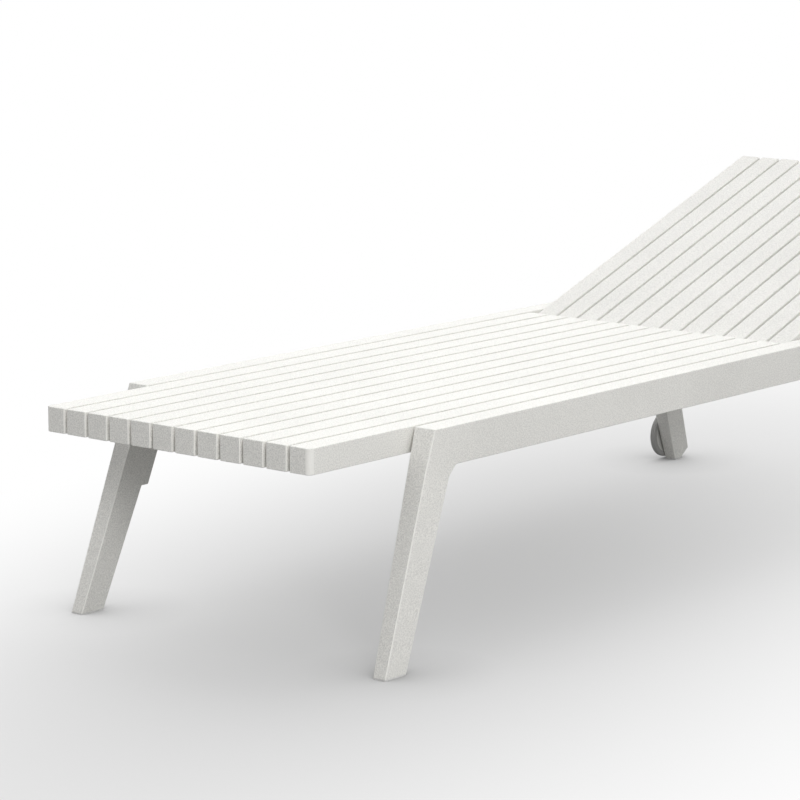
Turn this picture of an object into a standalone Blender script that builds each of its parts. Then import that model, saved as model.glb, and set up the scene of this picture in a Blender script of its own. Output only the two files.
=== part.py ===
"""Aluminium chaise lounge: slatted bed on two side frames, raised slatted back, prop and wheels.

Units are metres, +Z is up. +Y points from the foot end to the head end, +X to the right-hand side.
The origin lies on the floor, midway along the bed and midway between the side frames.
"""
import math

import bmesh
import bpy
from mathutils import Matrix, Vector

# Bed
SLAT_COUNT = 12
SLAT_WIDTH = 0.040
SLAT_GAP = 0.006
SEAT_SLAT_DEPTH = 0.040
BACK_SLAT_DEPTH = 0.030
SLAT_WALL = 0.0015
SLAT_END_RADIUS = 0.0015
SLAT_OUTER_CORNER_RADIUS = 0.009
SLAT_LONG_EDGE_RADIUS = 0.0012
SLAT_VENT_DIAMETER = 0.006
SLAT_VENT_FROM_END = 0.055
BED_HEIGHT = 0.360
SEAT_LENGTH = 1.240

# Side frames
BEAM_WIDTH = 0.040
BEAM_DEPTH = 0.060
TUBE_WALL = 0.0025
FRAME_EDGE_RADIUS = 0.0015
FRONT_LEG_TOP_Y = 0.232
FRONT_FOOT_Y = 0.102
FRONT_FOOT_SPREAD = 0.0103
REAR_LEG_FROM_HEAD = 0.350
REAR_LEG_RAKE = 0.122
REAR_FOOT_SPREAD = 0.003
LEG_ROOT_LENGTH = 0.062
LEG_FOOT_LENGTH = 0.0495
LEG_FOOT_WIDTH = 0.0240
GUSSET_RUN = 0.0105
GUSSET_DROP = 0.0165
SHOULDER_THICKNESS = 0.015
SHOULDER_HEIGHT = 0.194
SHOULDER_LEDGE = 0.0145
SHOULDER_FILLET = 0.006
BLEND_LENGTH = 0.048
NOSE_WALL = 0.0075
REAR_HEEL_HEIGHT = 0.020
REAR_HEEL_RUN = 0.029
REAR_FOOT_BLOCK = 0.078

# Rails
RAIL_WIDTH = 0.040
RAIL_DEPTH = 0.020
RAIL_WALL = 0.002
SEAT_RAIL_SHARE = (0.284, 0.516, 0.748, 0.978)
BACK_RAIL_WIDTH = 0.030
BACK_LOWER_RAIL_FROM_PIVOT = 0.055
BACK_UPPER_RAIL_FROM_HEAD = 0.088
HEAD_RAIL_DEPTH = 0.024
HEAD_RAIL_FROM_END = 0.025
BUMPER_DIAMETER = 0.018
BUMPER_SPACING = 0.400
BUMPER_SHOULDER_SHARE = 0.6
BUMPER_CROWN_SHARE = 0.75

# Back and its hinge
BACK_LENGTH = 0.700
BACK_HEEL = 0.028
BACK_ANGLE = math.radians(19.56)
HINGE_FROM_SEAT = 0.040
HINGE_PIN_DIAMETER = 0.010
HINGE_PIN_REACH = 0.010
HINGE_PIN_SEAT = 0.018
BUSH_WALL = 0.002
BUSH_FLANGE_DIAMETER = 0.020
BUSH_SLEEVE_REACH = 0.008

# Prop and racks
PROP_FOLD_CLEARANCE = 0.1454
PROP_PIVOT_SHARE = 0.4688
PROP_PIVOT_DROP = 0.024
PROP_ARM_THICKNESS = 0.006
PROP_ARM_DEPTH = 0.012
PROP_ARM_INSET = 0.018
PROP_ROD_DIAMETER = 0.010
PROP_ROD_TIP = 0.001
PROP_ROD_END_PLAY = 0.0015
PROP_PIN_DIAMETER = 0.006
PROP_PIN_HEAD_DIAMETER = 0.0096
PROP_PIN_HEAD_HEIGHT = 0.001
BRACKET_WALL = 0.002
BRACKET_LENGTH = 0.030
BRACKET_SIDE_PLAY = 0.0007
RACK_THICKNESS = 0.006
RACK_END_MARGIN = 0.024
ROD_LIFT = 0.0008
NOTCH_DEPTH = 0.0075
NOTCH_RAMP = 0.014
NOTCH_ARC_START = math.radians(200)
NOTCH_ARC_SWEEP = math.radians(160)
NOTCH_ANGLES = tuple(math.radians(value) for value in (30, 40, 50, 60))

# Wheels and feet
WHEEL_DIAMETER = 0.090
WHEEL_WIDTH = 0.011
WHEEL_LIFT = 0.004
WHEEL_SIDE_CLEARANCE = 0.001
TYRE_THICKNESS = 0.009
TYRE_CROWN = 0.0035
RIM_THICKNESS = 0.004
RIM_LIP = 0.001
WEB_THICKNESS = 0.004
HUB_DIAMETER = 0.026
AXLE_DIAMETER = 0.008
AXLE_DEPTH = 0.018
AXLE_HEAD_DIAMETER = 0.014
AXLE_HEAD_HEIGHT = 0.003
GLIDE_FLANGE = 0.0025
GLIDE_INSET = 0.0008
GLIDE_PLUG_HEIGHT = 0.012
CAP_FLANGE = 0.003
CAP_PLUG_LENGTH = 0.014

# Fits
GAP = 0.0003
BORE_PLAY = 0.0003
OVERRUN = 0.010
WHEEL_SEGMENTS = 40
ROD_SEGMENTS = 20
SMALL_SEGMENTS = 16
CORNER_SEGMENTS = 3
SLAT_CORNER_SEGMENTS = 2

SLAT_PITCH = SLAT_WIDTH + SLAT_GAP
BED_HALF = (SLAT_COUNT * SLAT_PITCH - SLAT_GAP) / 2
BEAM_INNER = BED_HALF + SLAT_GAP
BEAM_OUTER = BEAM_INNER + BEAM_WIDTH
BEAM_BOTTOM = BED_HEIGHT - BEAM_DEPTH
HINGE_Y = SEAT_LENGTH + HINGE_FROM_SEAT
BED_LENGTH = HINGE_Y + BACK_LENGTH
FOOT_END = -BED_LENGTH / 2
BEAM_END = BED_LENGTH - CAP_FLANGE
HINGE_HEIGHT = BED_HEIGHT - BACK_SLAT_DEPTH / 2
ROD_HEIGHT = HINGE_HEIGHT - PROP_PIVOT_DROP
PROP_FOLDED_REACH = BACK_LENGTH - PROP_FOLD_CLEARANCE
PROP_PIVOT_FROM_HINGE = PROP_PIVOT_SHARE * PROP_FOLDED_REACH
PROP_LENGTH = PROP_FOLDED_REACH - PROP_PIVOT_FROM_HINGE
PROP_ARM_X = BED_HALF - PROP_ARM_INSET


def rod_place(angle):
    """Distance of the prop's foot rod behind the hinge when the back stands at this angle."""
    lift = PROP_PIVOT_FROM_HINGE * math.sin(angle) + PROP_PIVOT_DROP * (1 - math.cos(angle))
    tilt = math.asin(lift / PROP_LENGTH)
    reach = PROP_PIVOT_FROM_HINGE * math.cos(angle) + PROP_PIVOT_DROP * math.sin(angle)
    return reach + PROP_LENGTH * math.cos(tilt), tilt


def mix(low, high, share):
    return low + (high - low) * share


def clear_scene():
    for item in list(bpy.data.objects):
        bpy.data.objects.remove(item, do_unlink=True)


def finish_colour(name, colour, roughness, metallic=0.0):
    material = bpy.data.materials.new(name)
    material.use_nodes = True
    shader = material.node_tree.nodes["Principled BSDF"]
    shader.inputs["Base Color"].default_value = (*colour, 1.0)
    shader.inputs["Roughness"].default_value = roughness
    shader.inputs["Metallic"].default_value = metallic
    material.diffuse_color = (*colour, 1.0)
    return material


def add_piece(name, mesh, material, parent=None, place=(0, 0, 0)):
    piece = bpy.data.objects.new(name, mesh)
    bpy.context.scene.collection.objects.link(piece)
    piece.location = place
    piece.parent = parent
    piece.data.materials.clear()
    piece.data.materials.append(material)
    return piece


def mesh_from(bm, name, smooth_angle=None):
    bmesh.ops.recalc_face_normals(bm, faces=bm.faces)
    mesh = bpy.data.meshes.new(name)
    bm.to_mesh(mesh)
    bm.free()
    if smooth_angle is not None:
        mesh.shade_smooth()
        mesh.set_sharp_from_angle(angle=smooth_angle)
    return mesh


def combine(mesh, others, operation="DIFFERENCE"):
    """Cut the other meshes from this one, or join them to it, and return the evaluated mesh."""
    body = bpy.data.objects.new("body", mesh)
    bpy.context.scene.collection.objects.link(body)
    tools = []
    for other in others:
        tool = bpy.data.objects.new("cutter", other)
        bpy.context.scene.collection.objects.link(tool)
        tool.hide_render = True
        tool.display_type = "WIRE"
        modifier = body.modifiers.new("cut", "BOOLEAN")
        modifier.operation = operation
        modifier.solver = "EXACT"
        modifier.object = tool
        tools.append(tool)
    bpy.context.view_layer.update()
    depsgraph = bpy.context.evaluated_depsgraph_get()
    result = bpy.data.meshes.new_from_object(body.evaluated_get(depsgraph))
    for item in [body, *tools]:
        bpy.data.objects.remove(item, do_unlink=True)
    return result


def box(x0, x1, y0, y1, z0, z1):
    bm = bmesh.new()
    bmesh.ops.create_cube(bm, size=1.0)
    low, high = (x0, y0, z0), (x1, y1, z1)
    for vert in bm.verts:
        vert.co = Vector([high[i] if vert.co[i] > 0 else low[i] for i in range(3)])
    return mesh_from(bm, "box")


def stack(rings, name, smooth_angle=None):
    """Closed solid through rings of equal point count, with flat ends."""
    bm = bmesh.new()
    loops = [[bm.verts.new(point) for point in ring] for ring in rings]
    count = len(loops[0])
    for below, above in zip(loops, loops[1:]):
        for i in range(count):
            j = (i + 1) % count
            bm.faces.new((below[i], below[j], above[j], above[i]))
    bm.faces.new(loops[0][::-1])
    bm.faces.new(loops[-1])
    return mesh_from(bm, name, smooth_angle)


def turned(profile, segments, name, centre=(0, 0, 0)):
    """Solid of revolution about X. The profile is a list of (x, radius), closed on the axis or on itself."""
    bm = bmesh.new()
    rings = []
    for x, radius in profile:
        if radius == 0:
            rings.append([bm.verts.new((x, 0, 0))])
        else:
            angles = (2 * math.pi * i / segments for i in range(segments))
            rings.append([bm.verts.new((x, radius * math.cos(a), radius * math.sin(a))) for a in angles])
    pairs = list(zip(rings, rings[1:]))
    if len(rings[0]) > 1:
        pairs.append((rings[-1], rings[0]))
    for first, second in pairs:
        for i in range(segments):
            j = (i + 1) % segments
            near = [first[i % len(first)], first[j % len(first)]]
            far = [second[j % len(second)], second[i % len(second)]]
            bm.faces.new(list(dict.fromkeys(near + far)))
    bmesh.ops.translate(bm, verts=bm.verts, vec=centre)
    return mesh_from(bm, name, math.radians(35))


def circle(radius):
    """Points round a circle about the origin."""
    angles = (2 * math.pi * i / SMALL_SEGMENTS for i in range(SMALL_SEGMENTS))
    return [(radius * math.cos(angle), radius * math.sin(angle)) for angle in angles]


def cylinder_x(x0, x1, radius, y, z, segments=SMALL_SEGMENTS):
    return turned([(x0, 0), (x0, radius), (x1, radius), (x1, 0)], segments, "cylinder", (0, y, z))


def mirrored(mesh, name):
    copy = mesh.copy()
    copy.name = name
    copy.transform(Matrix.Scale(-1, 4, (1, 0, 0)))
    copy.flip_normals()
    return copy


def moved(mesh, offset, name):
    copy = mesh.copy()
    copy.name = name
    copy.transform(Matrix.Translation(offset))
    return copy


def slat_outline(length, near_radius, far_radius):
    """Plan outline of a slat from its foot end at y = 0, with its four corners rounded."""
    half = SLAT_WIDTH / 2
    corners = [
        (-half, 0, far_radius, 180),
        (half, 0, near_radius, 270),
        (half, length, SLAT_END_RADIUS, 0),
        (-half, length, SLAT_END_RADIUS, 90),
    ]
    points = []
    for x, y, radius, start in corners:
        cx = x - math.copysign(radius, x)
        cy = radius if y == 0 else length - radius
        for i in range(SLAT_CORNER_SEGMENTS + 1):
            angle = math.radians(start + 90 * i / SLAT_CORNER_SEGMENTS)
            points.append((cx + radius * math.cos(angle), cy + radius * math.sin(angle)))
    return points


def slat_mesh(length, depth, near_radius=SLAT_END_RADIUS, far_radius=SLAT_END_RADIUS):
    """Hollow slat with welded ends; its top is at z = 0 and a vent hole opens the underside."""
    outline = slat_outline(length, near_radius, far_radius)
    inset = SLAT_LONG_EDGE_RADIUS
    soft = inset * (1 - math.cos(math.radians(45)))
    lower = [(-depth, inset), (-depth + soft, soft), (-depth + inset, 0)]
    levels = lower + [(-inset, 0), (-soft, soft), (0, inset)]
    half = SLAT_WIDTH / 2
    rings = []
    for z, shrink in levels:
        sx = (half - shrink) / half
        sy = (length / 2 - shrink) / (length / 2)
        rings.append([(x * sx, length / 2 + (y - length / 2) * sy, z) for x, y in outline])
    shell = stack(rings, "slat")
    inner = half - SLAT_WALL
    cavity = box(-inner, inner, SLAT_WALL + near_radius - SLAT_END_RADIUS, length - SLAT_WALL,
                 SLAT_WALL - depth, -SLAT_WALL)
    vent_y = length - SLAT_VENT_FROM_END
    ring = circle(SLAT_VENT_DIAMETER / 2)
    vent = stack([[(x, vent_y + y, z) for x, y in ring] for z in (-depth - OVERRUN, -depth / 2)], "vent")
    return combine(shell, [cavity, vent])


def tube_mesh(x_half, y0, y1, z0, z1, wall, name):
    """Rectangular tube along X with open ends."""
    outer = box(-x_half, x_half, y0, y1, z0, z1)
    bore = box(-x_half - OVERRUN, x_half + OVERRUN, y0 + wall, y1 - wall, z0 + wall, z1 - wall)
    mesh = combine(outer, [bore])
    mesh.name = name
    return mesh


class Leg:
    """A leg whose front face starts at a given height and leans, narrows and spreads down to the floor."""

    def __init__(self, top_y, foot_y, spread, top_height):
        slope = (foot_y - top_y) / top_height
        self.front_root = foot_y - slope * BEAM_BOTTOM
        self.front_foot = foot_y
        self.foot_outer = BEAM_OUTER + spread
        self.foot_inner = self.foot_outer - LEG_FOOT_WIDTH
        self.top_height = top_height

    def share(self, z):
        return (BEAM_BOTTOM - z) / BEAM_BOTTOM

    def front(self, z):
        return mix(self.front_root, self.front_foot, self.share(z))

    def rear(self, z):
        return self.front(z) + mix(LEG_ROOT_LENGTH, LEG_FOOT_LENGTH, self.share(z))

    def inner(self, z):
        return mix(self.foot_inner, BEAM_INNER, z / self.top_height)

    def outer(self, z):
        return mix(self.foot_outer, BEAM_OUTER, z / BEAM_BOTTOM)

    def ring(self, z, margin):
        """Four points of the leg's section at this height, drawn in by a margin."""
        x0, x1 = self.inner(z) + margin, self.outer(z) - margin
        y0, y1 = self.front(z) + margin, self.rear(z) - margin
        return [(x0, y0, z), (x1, y0, z), (x1, y1, z), (x0, y1, z)]


REAR_LEG_ROOT_Y = BED_LENGTH - REAR_LEG_FROM_HEAD
FRONT_LEG = Leg(FRONT_LEG_TOP_Y, FRONT_FOOT_Y, FRONT_FOOT_SPREAD, BED_HEIGHT)
REAR_LEG = Leg(REAR_LEG_ROOT_Y, REAR_LEG_ROOT_Y + REAR_LEG_RAKE, REAR_FOOT_SPREAD, BEAM_BOTTOM)
AXLE_HEIGHT = WHEEL_DIAMETER / 2 + WHEEL_LIFT
AXLE_Y = (REAR_LEG.front(AXLE_HEIGHT) + REAR_LEG.rear(AXLE_HEIGHT)) / 2
AXLE_FACE = REAR_LEG.outer(AXLE_HEIGHT)


def frame_points():
    """Named corners of the right-hand frame: y, z, inner x, outer x."""
    front, rear = FRONT_LEG, REAR_LEG
    low = GLIDE_FLANGE
    gusset_z = BEAM_BOTTOM - GUSSET_DROP
    fillet_z = SHOULDER_HEIGHT - SHOULDER_FILLET
    ledge_y = front.rear(fillet_z) + SHOULDER_FILLET / 2

    def on(leg, y, z):
        return (y, z, leg.inner(z), leg.outer(z))

    def beam(y, z):
        return (y, z, BEAM_INNER, BEAM_OUTER)

    root_rear = front.rear(BEAM_BOTTOM) + GUSSET_RUN
    return {
        "nose": beam(FRONT_LEG_TOP_Y, BED_HEIGHT),
        "top_blend": beam(root_rear + BLEND_LENGTH, BED_HEIGHT),
        "top_rear_front": beam(rear.front(BEAM_BOTTOM) - GUSSET_RUN, BED_HEIGHT),
        "top_rear_back": beam(rear.rear(BEAM_BOTTOM), BED_HEIGHT),
        "top_end": beam(BEAM_END, BED_HEIGHT),
        "low_end": beam(BEAM_END, BEAM_BOTTOM),
        "low_rear_back": beam(rear.rear(BEAM_BOTTOM), BEAM_BOTTOM),
        "low_rear_front": beam(rear.front(BEAM_BOTTOM) - GUSSET_RUN, BEAM_BOTTOM),
        "low_blend": beam(root_rear + BLEND_LENGTH, BEAM_BOTTOM),
        "gusset_root": on(front, root_rear, BEAM_BOTTOM),
        "gusset_end": on(front, front.rear(gusset_z), gusset_z),
        "front_root": on(front, front.front(BEAM_BOTTOM), BEAM_BOTTOM),
        "front_gusset": on(front, front.front(gusset_z), gusset_z),
        "front_fillet": on(front, front.front(fillet_z), fillet_z),
        "fillet_end": on(front, front.rear(fillet_z), fillet_z),
        "ledge_inner": on(front, ledge_y, SHOULDER_HEIGHT),
        "ledge_outer": on(front, ledge_y + SHOULDER_LEDGE, SHOULDER_HEIGHT),
        "front_foot": on(front, front.front(low), low),
        "front_foot_rear": on(front, front.rear(low), low),
        "rear_gusset_front": on(rear, rear.front(gusset_z), gusset_z),
        "rear_gusset_back": on(rear, rear.rear(gusset_z), gusset_z),
        "rear_foot": on(rear, rear.front(low), low),
        "heel_low": on(rear, rear.rear(low) - REAR_HEEL_RUN, low),
        "heel_high": on(rear, rear.rear(REAR_HEEL_HEIGHT), REAR_HEEL_HEIGHT),
    }


NOSE_CELL = ("nose", "front_root", "gusset_root", "low_blend", "top_blend")
NOSE_FACETS = (
    ("nose", "front_root", "gusset_root"),
    ("nose", "gusset_root", "top_blend"),
    ("gusset_root", "low_blend", "top_blend"),
)
CELLS = (
    ("front_root", "front_gusset", "gusset_end", "gusset_root"),
    ("front_gusset", "front_fillet", "fillet_end", "gusset_end"),
    ("front_fillet", "front_foot", "front_foot_rear", "fillet_end"),
    ("top_blend", "low_blend", "low_rear_front", "top_rear_front"),
    ("top_rear_front", "low_rear_front", "low_rear_back", "top_rear_back"),
    ("top_rear_back", "low_rear_back", "low_end", "top_end"),
    ("low_rear_front", "rear_gusset_front", "rear_gusset_back", "low_rear_back"),
    ("rear_gusset_front", "rear_foot", "heel_low", "heel_high", "rear_gusset_back"),
)
SHOULDER_CELL = ("gusset_root", "gusset_end", "fillet_end", "ledge_inner", "ledge_outer")
OUTLINE = (
    "nose", "front_root", "front_gusset", "front_fillet", "front_foot", "front_foot_rear", "fillet_end",
    "gusset_end", "gusset_root", "low_blend", "low_rear_front", "rear_gusset_front", "rear_foot",
    "heel_low", "heel_high", "rear_gusset_back", "low_rear_back", "low_end", "top_end", "top_rear_back",
    "top_rear_front", "top_blend",
)
SEAM = ("fillet_end", "gusset_end", "gusset_root")


def frame_shell():
    """Outer skin of the right-hand frame: beam, both legs and the shoulder inside the front leg."""
    bm = bmesh.new()
    inner, middle, outer = {}, {}, {}
    for name, (y, z, x_in, x_out) in frame_points().items():
        inner[name] = bm.verts.new((x_in, y, z))
        if name in SHOULDER_CELL:
            middle[name] = bm.verts.new((x_in + SHOULDER_THICKNESS, y, z))
        if name not in ("ledge_inner", "ledge_outer"):
            outer[name] = bm.verts.new((x_out, y, z))
    for cell in NOSE_FACETS + CELLS:
        bm.faces.new([inner[name] for name in cell])
    for cell in (NOSE_CELL, *CELLS):
        bm.faces.new([outer[name] for name in reversed(cell)])
    bm.faces.new([inner[name] for name in SHOULDER_CELL])
    bm.faces.new([middle[name] for name in reversed(SHOULDER_CELL)])
    for first, second in zip(OUTLINE, OUTLINE[1:] + OUTLINE[:1]):
        if first in SEAM and second in SEAM:
            bm.faces.new([middle[first], middle[second], outer[second], outer[first]])
            continue
        rise = [inner[first]] + ([middle[first]] if first in SEAM else []) + [outer[first]]
        fall = [outer[second]] + ([middle[second]] if second in SEAM else []) + [inner[second]]
        bm.faces.new(rise + fall)
    ledge = ("gusset_root", "ledge_outer", "ledge_inner", "fillet_end")
    for first, second in zip(ledge, ledge[1:]):
        bm.faces.new([inner[first], inner[second], middle[second], middle[first]])
    bmesh.ops.recalc_face_normals(bm, faces=bm.faces)
    sharp = [edge for edge in bm.edges if edge.calc_face_angle_signed() > math.radians(30)]
    bmesh.ops.bevel(bm, geom=sharp, offset=FRAME_EDGE_RADIUS, segments=2, affect="EDGES", clamp_overlap=True)
    return mesh_from(bm, "side_frame")


def frame_mesh():
    """Hollow right-hand frame, open at the beam's head end and at the front foot."""
    wall = TUBE_WALL
    side, low, top = BEAM_OUTER - wall, BEAM_BOTTOM + wall, BED_HEIGHT - wall
    blend = FRONT_LEG.rear(BEAM_BOTTOM) + GUSSET_RUN + BLEND_LENGTH
    beam_cavity = box(BEAM_INNER + wall, side, blend, BEAM_END + OVERRUN, low, top)
    nose_cavity = box(FRONT_LEG.inner(BEAM_BOTTOM) + wall, side, FRONT_LEG_TOP_Y + NOSE_WALL, blend + OVERRUN,
                      low, top)
    join = BEAM_BOTTOM + 2 * wall
    front_cavity = stack([FRONT_LEG.ring(-OVERRUN, wall), FRONT_LEG.ring(join, wall)], "front_cavity")
    rear_cavity = stack([REAR_LEG.ring(REAR_FOOT_BLOCK, wall), REAR_LEG.ring(join, wall)], "rear_cavity")
    pin_hole = cylinder_x(BEAM_INNER - OVERRUN, BEAM_INNER + OVERRUN, HINGE_PIN_DIAMETER / 2 + BORE_PLAY / 2,
                          HINGE_Y, HINGE_HEIGHT)
    axle_hole = cylinder_x(AXLE_FACE - AXLE_DEPTH - GAP, AXLE_FACE + OVERRUN, AXLE_DIAMETER / 2 + BORE_PLAY,
                           AXLE_Y, AXLE_HEIGHT)
    cavities = [beam_cavity, nose_cavity, front_cavity, rear_cavity]
    return combine(frame_shell(), cavities + [pin_hole, axle_hole])


def rack_mesh():
    """Toothed rack: steep faces towards the head end, ramps towards the foot end."""
    crest = ROD_HEIGHT - PROP_ROD_DIAMETER / 2 - ROD_LIFT
    floor = BEAM_BOTTOM + GAP
    root = crest - NOTCH_DEPTH
    radius = PROP_ROD_DIAMETER / 2 + GAP
    seats = sorted(HINGE_Y + rod_place(angle)[0] for angle in (BACK_ANGLE, *NOTCH_ANGLES))
    first = seats[0] - NOTCH_RAMP - RACK_END_MARGIN
    last = seats[-1] + RACK_END_MARGIN
    points = [(first, floor), (first, crest)]
    for seat in seats:
        points.append((seat - radius - NOTCH_RAMP, crest))
        for i in range(CORNER_SEGMENTS * 2 + 1):
            angle = NOTCH_ARC_START + NOTCH_ARC_SWEEP * i / (CORNER_SEGMENTS * 2)
            points.append((seat + radius * math.cos(angle), root + radius + radius * math.sin(angle)))
        points.append((seat + radius, crest))
    points += [(last, crest), (last, floor)]
    x0 = BEAM_INNER - GAP - RACK_THICKNESS
    bm = bmesh.new()
    face = bm.faces.new([bm.verts.new((x0, y, z)) for y, z in points])
    grown = bmesh.ops.extrude_face_region(bm, geom=[face])
    verts = [item for item in grown["geom"] if isinstance(item, bmesh.types.BMVert)]
    bmesh.ops.translate(bm, verts=verts, vec=(RACK_THICKNESS, 0, 0))
    return mesh_from(bm, "rack")


def bail_mesh():
    """Prop bail about its own pivot axis: two flat arms along +Y and the foot rod across their ends."""
    half = PROP_ARM_DEPTH / 2
    steps = SMALL_SEGMENTS // 2
    outline = []
    for centre, start in ((0, 90), (PROP_LENGTH, 270)):
        for i in range(steps + 1):
            angle = math.radians(start + 180 * i / steps)
            outline.append((centre + half * math.cos(angle), half * math.sin(angle)))
    arms = []
    for side in (-1, 1):
        x0 = side * PROP_ARM_X - PROP_ARM_THICKNESS / 2
        x1 = x0 + PROP_ARM_THICKNESS
        arm = stack([[(x, y, z) for y, z in outline] for x in (x0, x1)], "arm")
        hole = cylinder_x(x0 - OVERRUN, x1 + OVERRUN, PROP_PIN_DIAMETER / 2 + BORE_PLAY, 0, 0)
        arms.append(combine(arm, [hole]))
    reach = BEAM_INNER - PROP_ROD_END_PLAY
    tip = PROP_ROD_TIP
    radius = PROP_ROD_DIAMETER / 2
    rod = turned([(-reach, 0), (-reach, radius - tip), (tip - reach, radius), (reach - tip, radius),
                  (reach, radius - tip), (reach, 0)], ROD_SEGMENTS, "rod", (0, PROP_LENGTH, 0))
    return combine(rod, arms, "UNION")


def bracket_mesh():
    """Bent bracket under the back, its two cheeks on either side of the bail's arm."""
    inner = PROP_ARM_THICKNESS / 2 + BRACKET_SIDE_PLAY
    outer = inner + BRACKET_WALL
    top = -BACK_SLAT_DEPTH / 2 - GAP
    web = top - BRACKET_WALL
    low = -PROP_PIVOT_DROP - PROP_ARM_DEPTH / 2
    profile = [(-outer, top), (-outer, low), (-inner, low), (-inner, web), (inner, web), (inner, low),
               (outer, low), (outer, top)]
    y0 = PROP_PIVOT_FROM_HINGE - BRACKET_LENGTH / 2
    bm = bmesh.new()
    face = bm.faces.new([bm.verts.new((x, y0, z)) for x, z in profile])
    grown = bmesh.ops.extrude_face_region(bm, geom=[face])
    verts = [item for item in grown["geom"] if isinstance(item, bmesh.types.BMVert)]
    bmesh.ops.translate(bm, verts=verts, vec=(0, BRACKET_LENGTH, 0))
    bm.edges.ensure_lookup_table()
    corners = [edge for edge in bm.edges
               if all(abs(vert.co.z - low) < GAP for vert in edge.verts)
               and abs(edge.verts[0].co.y - edge.verts[1].co.y) < GAP]
    bmesh.ops.bevel(bm, geom=corners, offset=BRACKET_LENGTH / 4, segments=CORNER_SEGMENTS, affect="EDGES")
    shell = mesh_from(bm, "bracket")
    hole = cylinder_x(-outer - OVERRUN, outer + OVERRUN, PROP_PIN_DIAMETER / 2 + BORE_PLAY,
                      PROP_PIVOT_FROM_HINGE, -PROP_PIVOT_DROP)
    return combine(shell, [hole])


def prop_pin_mesh():
    """Rivet through a bracket's cheeks and the bail's arm, with a head on both sides."""
    cheek = PROP_ARM_THICKNESS / 2 + BRACKET_SIDE_PLAY + BRACKET_WALL + GAP
    end = cheek + PROP_PIN_HEAD_HEIGHT
    radius, head = PROP_PIN_DIAMETER / 2, PROP_PIN_HEAD_DIAMETER / 2
    profile = [(-end, 0), (-end, head), (-cheek, head), (-cheek, radius), (cheek, radius), (cheek, head),
               (end, head), (end, 0)]
    return turned(profile, SMALL_SEGMENTS, "prop_pin", (PROP_ARM_X, PROP_PIVOT_FROM_HINGE, -PROP_PIVOT_DROP))


def axle_mesh():
    """Shoulder bolt screwed into the solid foot of the rear leg, its head sunk in the wheel's hub."""
    seat = AXLE_FACE + WHEEL_SIDE_CLEARANCE + WHEEL_WIDTH - AXLE_HEAD_HEIGHT
    radius, head = AXLE_DIAMETER / 2, AXLE_HEAD_DIAMETER / 2
    profile = [(AXLE_FACE - AXLE_DEPTH, 0), (AXLE_FACE - AXLE_DEPTH, radius), (seat, radius), (seat, head),
               (seat + AXLE_HEAD_HEIGHT, head), (seat + AXLE_HEAD_HEIGHT, 0)]
    return turned(profile, SMALL_SEGMENTS, "wheel_axle", (0, AXLE_Y, AXLE_HEIGHT))


def wheel_meshes():
    """Wheel disc and tyre about the axle, with the wheel's inner side at x = 0."""
    radius = WHEEL_DIAMETER / 2
    seat = radius - TYRE_THICKNESS
    rim = seat - RIM_THICKNESS
    width = WHEEL_WIDTH
    web0 = (width - WEB_THICKNESS) / 2
    web1 = web0 + WEB_THICKNESS
    hub = HUB_DIAMETER / 2
    bore = AXLE_DIAMETER / 2 + BORE_PLAY
    boss = WHEEL_SIDE_CLEARANCE - GAP
    recess = AXLE_HEAD_HEIGHT + GAP
    head = AXLE_HEAD_DIAMETER / 2 + BORE_PLAY
    lip = RIM_LIP
    disc = [(-boss, bore), (-boss, hub - lip), (lip - boss, hub), (web0, hub), (web0, rim), (lip, rim + lip),
            (lip, seat - GAP), (width - lip, seat - GAP), (width - lip, rim + lip), (web1, rim),
            (web1, hub), (width - lip, hub), (width, hub - lip), (width, head), (width - recess, head),
            (width - recess, bore)]
    crown = []
    steps = 2 * CORNER_SEGMENTS
    for i in range(steps + 1):
        across = -1 + 2 * i / steps
        crown.append((width * (1 + across) / 2, radius - TYRE_CROWN * across * across))
    tyre = [(0, seat)] + crown + [(width, seat)]
    return turned(disc, WHEEL_SEGMENTS, "wheel"), turned(tyre, WHEEL_SEGMENTS, "tyre")


def glide_mesh(leg, plug, rear_trim):
    """Nylon foot: a flange under the leg's end, and a plug inside an open leg."""
    def ring(z, margin):
        points = leg.ring(z, margin)
        if rear_trim:
            points = [(x, y - rear_trim if i > 1 else y, z) for i, (x, y, z) in enumerate(points)]
        return points

    top = GLIDE_FLANGE - GAP
    rings = [ring(0, 2 * GLIDE_INSET), ring(GLIDE_INSET, GLIDE_INSET), ring(top, GLIDE_INSET)]
    if plug:
        rings += [ring(top, TUBE_WALL + GAP), ring(GLIDE_PLUG_HEIGHT, TUBE_WALL + GAP)]
        rings += [ring(GLIDE_PLUG_HEIGHT + GLIDE_INSET, TUBE_WALL + GLIDE_INSET)]
    return stack(rings, "glide")


def cap_mesh():
    """Plug that closes the head end of a beam."""
    def ring(y, margin):
        x0, x1 = BEAM_INNER + margin, BEAM_OUTER - margin
        z0, z1 = BEAM_BOTTOM + margin, BED_HEIGHT - margin
        return [(x0, y, z0), (x1, y, z0), (x1, y, z1), (x0, y, z1)]

    inside = TUBE_WALL + GAP
    edge = FRAME_EDGE_RADIUS
    rings = [ring(BED_LENGTH, edge), ring(BED_LENGTH - edge, 0), ring(BEAM_END + GAP, 0),
             ring(BEAM_END + GAP, inside), ring(BEAM_END - CAP_PLUG_LENGTH + edge, inside),
             ring(BEAM_END - CAP_PLUG_LENGTH, inside + edge)]
    return stack(rings, "cap")


def build_sides(name, mesh, material, parent, offset=(0, 0, 0)):
    """Right-hand piece and its mirror image on the left."""
    right = moved(mesh, offset, name)
    add_piece(name + "_right", right, material, parent)
    add_piece(name + "_left", mirrored(right, name), material, parent)


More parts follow.
